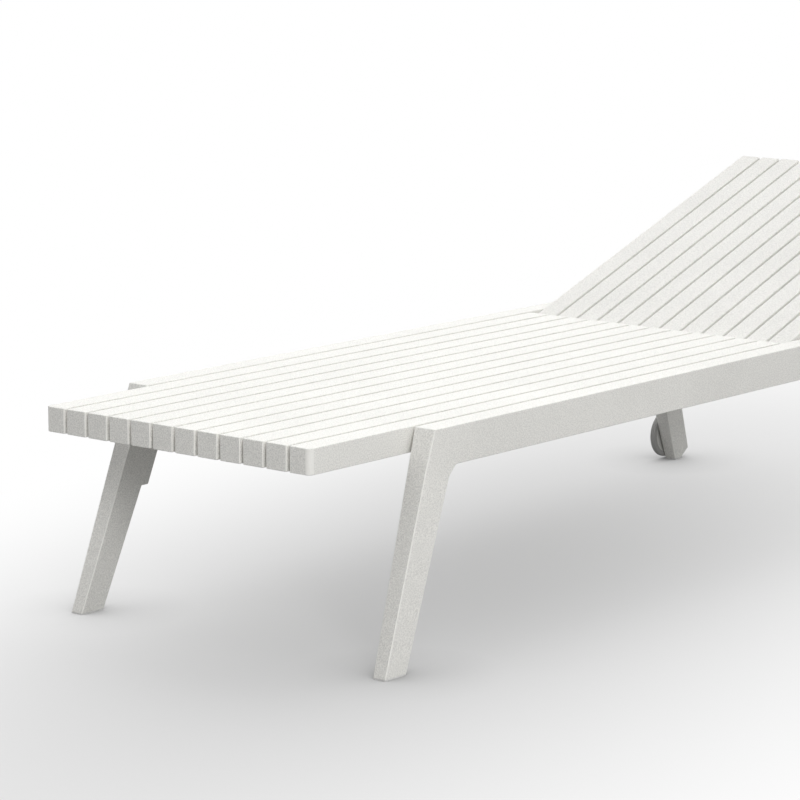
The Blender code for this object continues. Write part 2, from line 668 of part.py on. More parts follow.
def build_slats(prefix, length, depth, start, top, parent, material, bush_y=None):
    """The row of slats; the outer ones have a larger corner at the foot end and may carry a bush."""
    plain = moved(slat_mesh(length, depth), (0, start, top), prefix)
    near_radius = SLAT_OUTER_CORNER_RADIUS if bush_y is None else SLAT_END_RADIUS
    edge = moved(slat_mesh(length, depth, near_radius), (0, start, top), prefix + "_edge")
    if bush_y is not None:
        half = SLAT_WIDTH / 2
        radius = HINGE_PIN_DIAMETER / 2 + BUSH_WALL + BORE_PLAY
        edge = combine(edge, [cylinder_x(half - SLAT_WALL - OVERRUN, half + OVERRUN, radius, bush_y, 0)])
    left_edge = mirrored(edge, prefix + "_edge_left")
    for index in range(SLAT_COUNT):
        x = (index - (SLAT_COUNT - 1) / 2) * SLAT_PITCH
        mesh = left_edge if index == 0 else edge if index == SLAT_COUNT - 1 else plain
        add_piece(f"{prefix}_{index + 1:02d}", mesh, material, parent, (x, 0, 0))


def build_frame(base, white, grey, steel, rubber):
    build_sides("side_frame", frame_mesh(), white, base)
    build_slats("seat_slat", SEAT_LENGTH, SEAT_SLAT_DEPTH, 0, BED_HEIGHT, base, white)
    under = BED_HEIGHT - SEAT_SLAT_DEPTH - GAP
    span = BEAM_INNER - GAP
    half = RAIL_WIDTH / 2
    low = BED_HEIGHT - SEAT_SLAT_DEPTH - RAIL_DEPTH
    for index, share in enumerate(SEAT_RAIL_SHARE):
        centre = share * SEAT_LENGTH
        rail = tube_mesh(span, centre - half, centre + half, low, under, RAIL_WALL, "seat_rail")
        add_piece(f"seat_rail_{index + 1}", rail, white, base)
    head = BED_LENGTH - HEAD_RAIL_FROM_END
    top = BEAM_BOTTOM + HEAD_RAIL_DEPTH
    rail = tube_mesh(span, head - half, head + half, BEAM_BOTTOM, top, RAIL_WALL, "head_rail")
    add_piece("head_rail", rail, white, base)
    radius = BUMPER_DIAMETER / 2
    high = BED_HEIGHT - BACK_SLAT_DEPTH - GAP
    levels = ((top + GAP, radius), (mix(top, high, BUMPER_SHOULDER_SHARE), radius),
              (high, BUMPER_CROWN_SHARE * radius))
    pad = moved(stack([[(x, y, z) for x, y in circle(r)] for z, r in levels], "bumper"),
                (BUMPER_SPACING / 2, head, 0), "bumper")
    build_sides("bumper", pad, rubber, base)
    build_sides("rack", rack_mesh(), steel, base)
    inner_face = BED_HALF - SLAT_WALL
    pin = turned([(inner_face - HINGE_PIN_REACH, 0), (inner_face - HINGE_PIN_REACH, HINGE_PIN_DIAMETER / 2),
                  (BEAM_INNER + HINGE_PIN_SEAT, HINGE_PIN_DIAMETER / 2), (BEAM_INNER + HINGE_PIN_SEAT, 0)],
                 SMALL_SEGMENTS, "hinge_pin", (0, HINGE_Y, HINGE_HEIGHT))
    build_sides("hinge_pin", pin, steel, base)
    build_sides("front_glide", glide_mesh(FRONT_LEG, True, 0), grey, base)
    build_sides("rear_glide", glide_mesh(REAR_LEG, False, REAR_HEEL_RUN), grey, base)
    build_sides("beam_cap", cap_mesh(), white, base)


def build_back(back, white, grey):
    build_slats("back_slat", BACK_LENGTH + BACK_HEEL, BACK_SLAT_DEPTH, -BACK_HEEL, BACK_SLAT_DEPTH / 2, back,
                white, bush_y=0)
    top = -BACK_SLAT_DEPTH / 2 - GAP
    middle = PROP_PIVOT_FROM_HINGE - BRACKET_LENGTH / 2 - GAP - BACK_RAIL_WIDTH / 2 - BRACKET_WALL
    upper = BACK_LENGTH - BACK_UPPER_RAIL_FROM_HEAD
    places = (("lower", BACK_LOWER_RAIL_FROM_PIVOT), ("middle", middle), ("upper", upper))
    half = BACK_RAIL_WIDTH / 2
    low = top - RAIL_DEPTH
    for name, centre in places:
        rail = tube_mesh(BED_HALF, centre - half, centre + half, low, top, RAIL_WALL, "back_rail")
        add_piece(f"back_rail_{name}", rail, white, back)
    sleeve = HINGE_PIN_DIAMETER / 2 + BUSH_WALL
    bore = HINGE_PIN_DIAMETER / 2 + BORE_PLAY
    start = BED_HALF - BUSH_SLEEVE_REACH
    bush = turned([(start, bore), (start, sleeve), (BED_HALF + GAP, sleeve),
                   (BED_HALF + GAP, BUSH_FLANGE_DIAMETER / 2), (BEAM_INNER - GAP, BUSH_FLANGE_DIAMETER / 2),
                   (BEAM_INNER - GAP, bore)], ROD_SEGMENTS, "hinge_bush")
    build_sides("hinge_bush", bush, grey, back)
    build_sides("prop_bracket", bracket_mesh(), white, back, (PROP_ARM_X, 0, 0))


def build_prop(back, prop, white, steel):
    bail = add_piece("prop_bail", bail_mesh(), white, prop)
    bail.data.name = "prop_bail"
    build_sides("prop_pin", prop_pin_mesh(), steel, back)


def build_wheels(base, grey, rubber, steel):
    disc, tyre = wheel_meshes()
    side = AXLE_FACE + WHEEL_SIDE_CLEARANCE
    build_sides("wheel_axle", axle_mesh(), steel, base)
    for name, sign in (("right", 1), ("left", -1)):
        hub = bpy.data.objects.new(f"hub_{name}", None)
        bpy.context.scene.collection.objects.link(hub)
        hub.location = (0, AXLE_Y, AXLE_HEIGHT)
        hub.parent = base
        for piece, mesh, material in (("wheel", disc, grey), ("tyre", tyre, rubber)):
            placed = moved(mesh, (side, 0, 0), piece)
            placed = placed if sign > 0 else mirrored(placed, piece)
            add_piece(f"{piece}_{name}", placed, material, hub)


def empty(name, parent, place, tilt=0.0):
    item = bpy.data.objects.new(name, None)
    bpy.context.scene.collection.objects.link(item)
    item.parent = parent
    item.location = place
    item.rotation_euler = (tilt, 0, 0)
    return item


def main():
    clear_scene()
    white = finish_colour("white_powder_coat", (0.80, 0.80, 0.78), 0.55)
    grey = finish_colour("grey_nylon", (0.70, 0.70, 0.68), 0.6)
    steel = finish_colour("zinc_steel", (0.56, 0.56, 0.57), 0.35, 1.0)
    rubber = finish_colour("grey_rubber", (0.42, 0.42, 0.41), 0.8)
    base = empty("base", None, (0, FOOT_END, 0))
    back = empty("back_pivot", base, (0, HINGE_Y, HINGE_HEIGHT), BACK_ANGLE)
    tilt = rod_place(BACK_ANGLE)[1]
    prop = empty("prop_pivot", back, (0, PROP_PIVOT_FROM_HINGE, -PROP_PIVOT_DROP), -tilt - BACK_ANGLE)
    build_frame(base, white, grey, steel, rubber)
    build_back(back, white, grey)
    build_prop(back, prop, white, steel)
    build_wheels(base, grey, rubber, steel)


main()
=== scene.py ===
"""Looks of the aluminium chaise lounge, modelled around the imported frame."""
import math

import bmesh
import bpy
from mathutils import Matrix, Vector


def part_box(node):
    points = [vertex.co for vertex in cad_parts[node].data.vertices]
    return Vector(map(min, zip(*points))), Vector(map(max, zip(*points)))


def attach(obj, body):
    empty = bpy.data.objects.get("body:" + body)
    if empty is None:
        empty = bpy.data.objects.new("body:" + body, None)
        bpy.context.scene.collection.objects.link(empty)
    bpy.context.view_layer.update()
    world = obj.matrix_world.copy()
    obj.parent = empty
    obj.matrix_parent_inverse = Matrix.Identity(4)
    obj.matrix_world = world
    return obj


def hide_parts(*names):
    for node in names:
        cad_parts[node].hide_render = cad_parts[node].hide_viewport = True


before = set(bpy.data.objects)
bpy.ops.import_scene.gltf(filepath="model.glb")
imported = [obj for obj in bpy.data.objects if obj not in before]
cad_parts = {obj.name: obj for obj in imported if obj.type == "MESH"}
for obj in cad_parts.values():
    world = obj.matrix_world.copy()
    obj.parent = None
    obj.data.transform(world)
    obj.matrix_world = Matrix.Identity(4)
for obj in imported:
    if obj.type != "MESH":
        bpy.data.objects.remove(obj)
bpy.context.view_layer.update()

# Camera, solved from the photograph's straight edges
LENS_MM = 145.99
SENSOR_MM = 36.0
CAMERA_PLACE = (3.3180, -4.4588, 1.2717)
CAMERA_AZIMUTH = math.radians(39.655)
CAMERA_ELEVATION = math.radians(10.308)

# Bed
BED_TOP = 0.360
SLAT_WIDTH = 0.040
SLAT_PITCH = 0.046
SLAT_COUNT = 12
BACK_SLAT_DEPTH = 0.030
BACK_LENGTH = 0.700
BACK_HEEL = 0.028
SLAT_CORNER = 0.0015
OUTER_SLAT_CORNER = 0.009
SLAT_EDGE = 0.0013
BED_HALF = 0.273
VENT_RADIUS = 0.003
RAIL_WALL = 0.002
BACK_RAIL_HALF = 0.015
BACK_RAIL_DEPTH = 0.020
BACK_RAIL_SPACING = 0.002

# Gap between pieces that lie against each other
CLEARANCE = 0.0003

# Side frame
BEAM_LOW = 0.300
BEAM_INNER = 0.279
BEAM_OUTER = 0.319
BEAM_END = 0.987
NOSE_Y = -0.758
FRONT_GUSSET_Y = -0.7072
BLEND_Y = -0.6592
REAR_GUSSET_Y = 0.6295
REAR_ROOT_Y = 0.702
GUSSET_LOW = 0.2835
LEDGE_Z = 0.194
LEDGE_Y = -0.7453
SHOULDER_TOP = (-0.6964, 0.330)
SHOULDER_THICKNESS = 0.015
SHOULDER_STEP = 0.00006
HEEL_Z = 0.020
HEEL_RUN = 0.029
FLANGE_TOP = 0.0025
FRAME_EDGE = 0.0015
FRAME_HOLLOW = 0.003
CAP_END = 0.990
PLUG_LIP = 0.0012
LEG_DEPTH = 0.062
LEG_TAPER = 0.0125
FRONT_LEG = {"inner": 0.3053, "inner_lean": 0.0263, "splay": 0.0103, "front": -0.779667, "rake": 0.108333}
REAR_LEG = {"inner_lean": 0.0190, "splay": 0.003, "front": 0.640, "rake": 0.122}

# Which edges count as sharp, and which faces as rounded edges
SHARP_FROM = math.radians(28)
SMOOTH_UP_TO = math.radians(40)
FOLD_WIDTH = 0.0025

# Hinge, prop and wheels
HINGE = (0.0, 0.290, 0.345)
BACK_ANGLE = math.radians(19.56)
PROP_PIVOT = (0.260, -0.024)
PROP_LENGTH = 0.2946
PROP_TILT = math.radians(17.468)
PROP_ARM_X = 0.255
ARM_HALF = 0.003
ARM_RADIUS = 0.006
PIN_RADIUS = 0.003
PIN_BORE = 0.0033
BRACKET_HALF = 0.015
ROD_RADIUS = 0.005
ROD_HALF = 0.2775
ROD_LIFT = 0.0008
NOTCH_ANGLES = (BACK_ANGLE, *map(math.radians, (30, 40, 50, 60)))
NOTCH_DEPTH = 0.0075
NOTCH_RADIUS = 0.0053
NOTCH_RAMP = 0.014
RACK_THICKNESS = 0.006
RACK_MARGINS = (0.038, 0.024)
HINGE_PIN_RADIUS = 0.005
BUSH_RADIUS = 0.010
BUSH_BORE = 0.0073
AXLE_Y = 0.767844
AXLE_Z = 0.049
WHEEL_INNER = 0.32251
WHEEL_OUTER = 0.33351
AXLE_RADIUS = 0.004
BOLT_HEAD = 0.003
DISC_RADIUS = 0.0357
TYRE_RADIUS = 0.045
TYRE_DEPTH = 0.009

# Lamps: name, strength, spread, and the direction the light comes from
SUNS = (
    ("head_end", 1.92, math.radians(90), (0.0, 1.0, 0.8)),
    ("left_high", 1.05, math.radians(80), (-0.7, 0.25, 1.0)),
    ("diagonal", 0.74, math.radians(20), (0.79, -0.61, 0.5)),
    ("diagonal_low", 0.34, math.radians(20), (0.79, -0.61, 0.15)),
    ("side", 0.575, math.radians(50), (1.0, -0.15, 0.6)),
    ("front_left", 0.41, math.radians(50), (-0.4, -0.9, 0.5)),
)
# Name, power, place, target and size
SOFTBOXES = (
    ("key", 14.0, (2.3, -2.5, 1.6), (0.0, -0.3, 0.2), (1.2, 1.2)),
)

# Floor: the grey that lights the piece from below, the grey that is seen, and the oval that its painted glow
# fades out in, leaving painted shade round the lounger
FLOOR_BOUNCE = (0.30, 0.30, 0.30)
FLOOR_SHOWN = (0.496, 0.496, 0.496)
FADE_CENTRE = (0.084, -0.433)
FADE_TURN = 0.262
FADE_STRETCH = 0.33
FADE_REACH = (0.0, 1.113)
FADE_GLOW = (0.371, 1.0)
# Reach of the painted contact shadow on the floor
CONTACT_REACH = 0.15


# Hand tools

def select_only(*pieces):
    if bpy.context.object and bpy.context.object.mode != "OBJECT":
        bpy.ops.object.mode_set(mode="OBJECT")
    bpy.ops.object.select_all(action="DESELECT")
    for piece in pieces:
        piece.select_set(True)
        bpy.context.view_layer.objects.active = piece


def settle(piece):
    """Leaves the object at the origin, unturned and unscaled, with its place in its mesh."""
    select_only(piece)
    bpy.ops.object.transform_apply(location=True, rotation=True, scale=True)
    return piece


def add_block(name, low, high):
    select_only()
    low, high = Vector(low), Vector(high)
    bpy.ops.mesh.primitive_cube_add(size=1.0, location=(low + high) / 2, scale=high - low)
    block = bpy.context.object
    block.name = block.data.name = name
    return settle(block)


def add_round(name, sides, radius, x0, x1, y, z):
    """Round bar along X."""
    select_only()
    bpy.ops.mesh.primitive_cylinder_add(vertices=sides, radius=radius, depth=x1 - x0,
                                        location=((x0 + x1) / 2, y, z), rotation=(0, math.pi / 2, 0))
    bar = bpy.context.object
    bar.name = bar.data.name = name
    return settle(bar)


def add_post(name, sides, radius, x, y, z0, z1):
    """Round bar along Z."""
    select_only()
    bpy.ops.mesh.primitive_cylinder_add(vertices=sides, radius=radius, depth=z1 - z0,
                                        location=(x, y, (z0 + z1) / 2))
    post = bpy.context.object
    post.name = post.data.name = name
    return settle(post)


def trace(name, points, thickness):
    """Draws an outline point by point from one corner, fills it and extrudes it along X."""
    select_only()
    bpy.ops.mesh.primitive_plane_add(size=0.001, location=points[0])
    piece = bpy.context.object
    piece.name = piece.data.name = name
    settle(piece)
    work_on(piece, "VERT")
    bpy.ops.mesh.select_all(action="SELECT")
    bpy.ops.mesh.merge(type="CENTER")
    for start, end in zip(points, points[1:]):
        step = Vector(end) - Vector(start)
        bpy.ops.mesh.extrude_region_move(TRANSFORM_OT_translate={"value": step})
    bpy.ops.mesh.select_all(action="SELECT")
    bpy.ops.mesh.edge_face_add()
    bpy.ops.mesh.select_mode(type="FACE")
    bpy.ops.mesh.select_all(action="SELECT")
    bpy.ops.mesh.extrude_region_move(TRANSFORM_OT_translate={"value": (thickness, 0, 0)})
    face_outwards()
    return piece


def work_on(piece, kind="FACE"):
    select_only(piece)
    bpy.ops.object.mode_set(mode="EDIT")
    bpy.ops.mesh.select_mode(type=kind)
    bpy.ops.mesh.select_all(action="DESELECT")


def choose_faces(piece, test):
    """Selects faces by their middle and normal."""
    bpy.ops.mesh.select_mode(type="FACE")
    bpy.ops.mesh.select_all(action="DESELECT")
    mesh = bmesh.from_edit_mesh(piece.data)
    for face in mesh.faces:
        face.select_set(bool(test(face.calc_center_median(), face.normal)))
    bmesh.update_edit_mesh(piece.data)


def choose_edges(piece, test):
    """Selects edges by their middle and direction."""
    bpy.ops.mesh.select_mode(type="EDGE")
    bpy.ops.mesh.select_all(action="DESELECT")
    mesh = bmesh.from_edit_mesh(piece.data)
    for edge in mesh.edges:
        start, end = edge.verts[0].co, edge.verts[1].co
        edge.select_set(bool(test((start + end) / 2, (end - start).normalized())))
    bmesh.update_edit_mesh(piece.data)


def choose_points(piece, test):
    bpy.ops.mesh.select_mode(type="VERT")
    bpy.ops.mesh.select_all(action="DESELECT")
    mesh = bmesh.from_edit_mesh(piece.data)
    for point in mesh.verts:
        point.select_set(bool(test(point.co)))
    bmesh.update_edit_mesh(piece.data)


def near(value, goal, reach=0.0004):
    return abs(value - goal) < reach


def shift(step):
    bpy.ops.transform.translate(value=step)


def bevel_chosen(radius, steps, clamped=True):
    bpy.ops.mesh.bevel(offset=radius, segments=steps, affect="EDGES", clamp_overlap=clamped)


def draw_out(step, shrink=None, centre=(0, 0, 0)):
    """Extrudes what is selected, and scales the new end about a centre."""
    bpy.ops.mesh.extrude_region_move(TRANSFORM_OT_translate={"value": step})
    if shrink:
        bpy.ops.transform.resize(value=shrink, center_override=centre)


def face_outwards():
    bpy.ops.mesh.select_all(action="SELECT")
    bpy.ops.mesh.normals_make_consistent(inside=False)
    bpy.ops.object.mode_set(mode="OBJECT")


def finish_modifier(piece, modifier):
    select_only(piece)
    bpy.ops.object.modifier_apply(modifier=modifier.name)


def round_edges(piece, radius, steps=3):
    bevel = piece.modifiers.new("rounded edges", "BEVEL")
    bevel.width = radius
    bevel.segments = steps
    bevel.limit_method = "ANGLE"
    bevel.angle_limit = SHARP_FROM
    finish_modifier(piece, bevel)


def round_folds(piece, radius, steps, leave):
    """Rounds every sharp edge but those whose middle passes the test."""
    work_on(piece, "EDGE")
    bpy.ops.mesh.edges_select_sharp(sharpness=SHARP_FROM)
    mesh = bmesh.from_edit_mesh(piece.data)
    for edge in mesh.edges:
        if edge.select and leave((edge.verts[0].co + edge.verts[1].co) / 2):
            edge.select_set(False)
    bmesh.update_edit_mesh(piece.data)
    bevel_chosen(radius, steps, clamped=False)
    face_outwards()


def cut_or_weld(piece, tool, operation="DIFFERENCE"):
    """Cuts the tool out of the piece or welds it on, and uses the tool up."""
    boolean = piece.modifiers.new("cut", "BOOLEAN")
    boolean.operation = operation
    boolean.solver = "EXACT"
    boolean.object = tool
    finish_modifier(piece, boolean)
    bpy.data.objects.remove(tool, do_unlink=True)


def copy_across(piece, name, step):
    select_only(piece)
    bpy.ops.object.duplicate()
    twin = bpy.context.object
    twin.name = twin.data.name = name
    bpy.ops.transform.translate(value=step)
    return settle(twin)


def mirror_across(piece, name):
    """The left-hand twin of a right-hand piece."""
    select_only(piece)
    bpy.ops.object.duplicate()
    twin = bpy.context.object
    twin.name = twin.data.name = name
    twin.scale = (-1, 1, 1)
    settle(twin)
    work_on(twin)
    face_outwards()
    return twin


def place_on_back(piece):
    """Turns a piece that was modelled flat about the hinge axis to the back's rest angle."""
    piece.rotation_euler = (BACK_ANGLE, 0, 0)
    piece.location = HINGE
    return settle(piece)


def mark_folds(piece):
    """Gives the narrow faces of upright rounded edges the value 1 in the attribute fold, which places the
    coat's painted highlight.
    """
    mesh = bmesh.new()
    mesh.from_mesh(piece.data)
    fold = mesh.faces.layers.float.new("fold")
    for face in mesh.faces:
        longest = max(face.edges, key=lambda edge: edge.calc_length())
        start, end = longest.verts[0].co, longest.verts[1].co
        length = max(longest.calc_length(), 1e-6)
        narrow = face.calc_area() / length < FOLD_WIDTH and length > 4 * FOLD_WIDTH
        face[fold] = float(narrow and abs(end.z - start.z) > 0.6 * length)
    mesh.to_mesh(piece.data)
    mesh.free()


def fit(piece, body, finish):
    """Shades a finished piece, and gives it its finish and its place in the frame."""
    select_only(piece)
    bpy.ops.object.shade_smooth_by_angle(angle=SMOOTH_UP_TO)
    flat = piece.modifiers.new("flat faces stay flat", "WEIGHTED_NORMAL")
    flat.keep_sharp = True
    finish_modifier(piece, flat)
    piece.data.materials.clear()
    piece.data.materials.append(FINISHES[finish])
    mark_folds(piece)
    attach(piece, body)
    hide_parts(piece.name.removeprefix("looks_"))


def fit_pair(piece, body, finish, left_body=None):
    """A right-hand piece and its mirror image on the left."""
    stem = piece.name.removesuffix("_right")
    twin = mirror_across(piece, stem + "_left")
    fit(piece, body, finish)
    fit(twin, left_body or body, finish)


# Materials

def add_node(tree, kind, place, **values):
    node = tree.nodes.new(kind)
    node.location = place
    for key, value in values.items():
        if key in node.inputs:
            node.inputs[key].default_value = value
        else:
            setattr(node, key, value)
    return node


def surface_grain_group():
    """Fine-textured surface: a shade that flickers at the size of the grain, and its height."""
    tree = bpy.data.node_groups.new("surface_grain", "ShaderNodeTree")
    for name, value in (("Grain Scale", 700.0), ("Mottle Scale", 6.0), ("Mottle Share", 0.3)):
        socket = tree.interface.new_socket(name, in_out="INPUT", socket_type="NodeSocketFloat")
        socket.default_value = value
    for name in ("Shade", "Height"):
        tree.interface.new_socket(name, in_out="OUTPUT", socket_type="NodeSocketFloat")
    source = add_node(tree, "NodeGroupInput", (-900, 0))
    sink = add_node(tree, "NodeGroupOutput", (500, 0))
    where = add_node(tree, "ShaderNodeTexCoord", (-900, -220))
    grain = add_node(tree, "ShaderNodeTexNoise", (-620, 160), Detail=2.0, Roughness=0.6)
    mottle = add_node(tree, "ShaderNodeTexNoise", (-620, -160), Detail=3.0, Roughness=0.5)
    blend = add_node(tree, "ShaderNodeMix", (-100, 60), data_type="FLOAT")
    tree.links.new(where.outputs["Object"], grain.inputs["Vector"])
    tree.links.new(where.outputs["Object"], mottle.inputs["Vector"])
    tree.links.new(source.outputs["Grain Scale"], grain.inputs["Scale"])
    tree.links.new(source.outputs["Mottle Scale"], mottle.inputs["Scale"])
    tree.links.new(source.outputs["Mottle Share"], blend.inputs["Factor"])
    tree.links.new(grain.outputs["Fac"], blend.inputs[2])
    tree.links.new(mottle.outputs["Fac"], blend.inputs[3])
    tree.links.new(blend.outputs[0], sink.inputs["Shade"])
    tree.links.new(grain.outputs["Fac"], sink.inputs["Height"])


def painted_fold_highlight_group():
    """Painted highlight on upright rounded edges: 1 there, a little less where the grain is dark."""
    tree = bpy.data.node_groups.new("painted_fold_highlight", "ShaderNodeTree")
    for name, value in (("Shade", 0.5), ("Amount", 1.0)):
        socket = tree.interface.new_socket(name, in_out="INPUT", socket_type="NodeSocketFloat")
        socket.default_value = value
    tree.interface.new_socket("Highlight", in_out="OUTPUT", socket_type="NodeSocketFloat")
    source = add_node(tree, "NodeGroupInput", (-700, 0))
    sink = add_node(tree, "NodeGroupOutput", (300, 0))
    fold = add_node(tree, "ShaderNodeAttribute", (-700, 200), attribute_name="fold")
    painted_highlight = add_node(tree, "ShaderNodeMapRange", (-400, 0))
    painted_highlight.inputs["To Min"].default_value = 0.7
    scaled = add_node(tree, "ShaderNodeMath", (-150, 0), operation="MULTIPLY")
    marked = add_node(tree, "ShaderNodeMath", (80, 0), operation="MULTIPLY")
    tree.links.new(source.outputs["Shade"], painted_highlight.inputs["Value"])
    tree.links.new(painted_highlight.outputs["Result"], scaled.inputs[0])
    tree.links.new(source.outputs["Amount"], scaled.inputs[1])
    tree.links.new(scaled.outputs[0], marked.inputs[0])
    tree.links.new(fold.outputs["Fac"], marked.inputs[1])
    tree.links.new(marked.outputs[0], sink.inputs["Highlight"])


def grained_finish(name, dark, light, rough, grain, mottle, share, bump, metallic=0.0, spread=0.15,
                   painted_highlight=None):
    """Surface whose colour and roughness move a little with its grain, with a painted highlight on its
    upright rounded edges when a highlight colour is given.
    """
    material = bpy.data.materials.new(name)
    material.use_nodes = True
    tree = material.node_tree
    shader = tree.nodes["Principled BSDF"]
    shader.inputs["Metallic"].default_value = metallic
    texture = add_node(tree, "ShaderNodeGroup", (-900, 100), node_tree=bpy.data.node_groups["surface_grain"])
    texture.inputs["Grain Scale"].default_value = grain
    texture.inputs["Mottle Scale"].default_value = mottle
    texture.inputs["Mottle Share"].default_value = share
    ramp = add_node(tree, "ShaderNodeValToRGB", (-600, 220))
    ramp.color_ramp.elements[0].position = 0.5 - spread
    ramp.color_ramp.elements[0].color = (*dark, 1)
    ramp.color_ramp.elements[1].position = 0.5 + spread
    ramp.color_ramp.elements[1].color = (*light, 1)
    sheen = add_node(tree, "ShaderNodeMapRange", (-600, -60))
    sheen.inputs["To Min"].default_value = rough - 0.05
    sheen.inputs["To Max"].default_value = rough + 0.05
    relief = add_node(tree, "ShaderNodeBump", (-300, -240), Strength=bump, Distance=0.0003)
    tree.links.new(texture.outputs["Shade"], ramp.inputs["Fac"])
    tree.links.new(texture.outputs["Shade"], sheen.inputs["Value"])
    tree.links.new(texture.outputs["Height"], relief.inputs["Height"])
    colour = ramp.outputs["Color"]
    # Painted highlight: the colour is lightened towards the given colour on the faces of upright rounded
    # edges
    if painted_highlight:
        highlight_mask = add_node(tree, "ShaderNodeGroup", (-600, 480), node_tree=bpy.data.node_groups["painted_fold_highlight"])
        highlighted = add_node(tree, "ShaderNodeMix", (-250, 320), data_type="RGBA")
        highlighted.inputs[7].default_value = (*painted_highlight, 1)
        tree.links.new(texture.outputs["Shade"], highlight_mask.inputs["Shade"])
        tree.links.new(highlight_mask.outputs["Highlight"], highlighted.inputs["Factor"])
        tree.links.new(colour, highlighted.inputs[6])
        colour = highlighted.outputs[2]
    tree.links.new(colour, shader.inputs["Base Color"])
    tree.links.new(sheen.outputs["Result"], shader.inputs["Roughness"])
    tree.links.new(relief.outputs["Normal"], shader.inputs["Normal"])
    return material


def make_finishes():
    surface_grain_group()
    painted_fold_highlight_group()
    # pale is the light end of the grain, and also the colour of the painted highlight on the coat's upright
    # rounded edges
    pale = (0.930, 0.920, 0.880)
    return {
        "white_powder_coat": grained_finish("white_powder_coat", (0.690, 0.684, 0.654), pale,
                                            0.55, 520.0, 5.0, 0.15, 0.6, spread=0.13, painted_highlight=pale),
        "grey_nylon": grained_finish("grey_nylon", (0.62, 0.62, 0.60), (0.78, 0.78, 0.76),
                                     0.5, 500.0, 12.0, 0.3, 0.2),
        "zinc_steel": grained_finish("zinc_steel", (0.50, 0.50, 0.51), (0.62, 0.62, 0.63),
                                     0.35, 260.0, 30.0, 0.5, 0.1, metallic=1.0),
        "grey_rubber": grained_finish("grey_rubber", (0.39, 0.39, 0.38), (0.45, 0.45, 0.44),
                                      0.75, 1100.0, 14.0, 0.4, 0.4),
    }


# Slats and rails

def shape_slat(slat, outer_corner):
    """Rounds a slat's four upright corners, then the edges of its top and underside."""
    low, high = slat_ends(slat)
    work_on(slat, "EDGE")
    choose_edges(slat, lambda middle, way: abs(way.z) > 0.9
                 and not (near(middle.y, low.y) and middle.x > (low.x + high.x) / 2))
    bevel_chosen(SLAT_CORNER, 4)
    choose_edges(slat, lambda middle, way: abs(way.z) > 0.9 and near(middle.y, low.y)
                 and near(middle.x, high.x))
    bevel_chosen(outer_corner, 7)
    choose_edges(slat, lambda middle, way: near(middle.z, low.z, 1e-5) or near(middle.z, high.z, 1e-5))
    bevel_chosen(SLAT_EDGE, 3)
    face_outwards()


def slat_ends(slat):
    """Lowest and highest corner of the slat's box."""
    places = [point.co for point in slat.data.vertices]
    low = Vector([min(place[i] for place in places) for i in range(3)])
    high = Vector([max(place[i] for place in places) for i in range(3)])
    return low, high


def drill_vent(slat):
    """Drain hole in the underside, near the slat's upper end."""
    low, high = slat_ends(slat)
    middle = (low.x + high.x) / 2
    drill = add_post("drill", 24, VENT_RADIUS, middle, high.y - 0.055, low.z - 0.01, low.z + 0.008)
    cut_or_weld(slat, drill)


def fit_slats(second, stem, body):
    """Copies the second slat along to the last but one."""
    for index in range(3, SLAT_COUNT):
        copy = copy_across(second, f"{stem}_{index:02d}", (SLAT_PITCH * (index - 2), 0, 0))
        fit(copy, body, "white_powder_coat")
    fit(second, body, "white_powder_coat")


def model_seat():
    low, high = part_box("seat_slat_02")
    plain = add_block("looks_seat_slat_02", low, high)
    shape_slat(plain, SLAT_CORNER)
    drill_vent(plain)
    fit_slats(plain, "looks_seat_slat", "base")
    low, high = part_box("seat_slat_12")
    edge = add_block("looks_seat_slat_12", low, high)
    shape_slat(edge, OUTER_SLAT_CORNER)
    drill_vent(edge)
    fit(mirror_across(edge, "looks_seat_slat_01"), "base", "white_powder_coat")
    fit(edge, "base", "white_powder_coat")


def model_back_slats():
    half, depth = SLAT_WIDTH / 2, BACK_SLAT_DEPTH / 2
    x = BED_HALF - half
    edge = add_block("looks_back_slat_12", (x - half, -BACK_HEEL, -depth), (x + half, BACK_LENGTH, depth))
    shape_slat(edge, SLAT_CORNER)
    drill_vent(edge)
    plain = copy_across(edge, "looks_back_slat_02", (SLAT_PITCH * (2 - SLAT_COUNT), 0, 0))
    cut_or_weld(edge, add_round("drill", 32, BUSH_BORE, BED_HALF - 0.009, BED_HALF + 0.01, 0, 0))
    place_on_back(edge)
    place_on_back(plain)
    fit(mirror_across(edge, "looks_back_slat_01"), "back", "white_powder_coat")
    fit(edge, "back", "white_powder_coat")
    fit_slats(plain, "looks_back_slat", "back")


def open_tube(rail):
    """Opens a solid rail from end to end."""
    work_on(rail)
    choose_faces(rail, lambda middle, normal: abs(normal.x) > 0.9)
    bpy.ops.mesh.inset(thickness=RAIL_WALL, use_individual=True)
    bpy.ops.mesh.bridge_edge_loops()
    choose_edges(rail, lambda middle, way: abs(way.x) > 0.9 and outermost(rail, middle))
    bevel_chosen(0.0012, 3)
    face_outwards()


def outermost(rail, middle):
    low, high = rail.bound_box[0], rail.bound_box[6]
    return any(near(middle[i], edge[i], 1e-5) for i in (1, 2) for edge in (low, high))


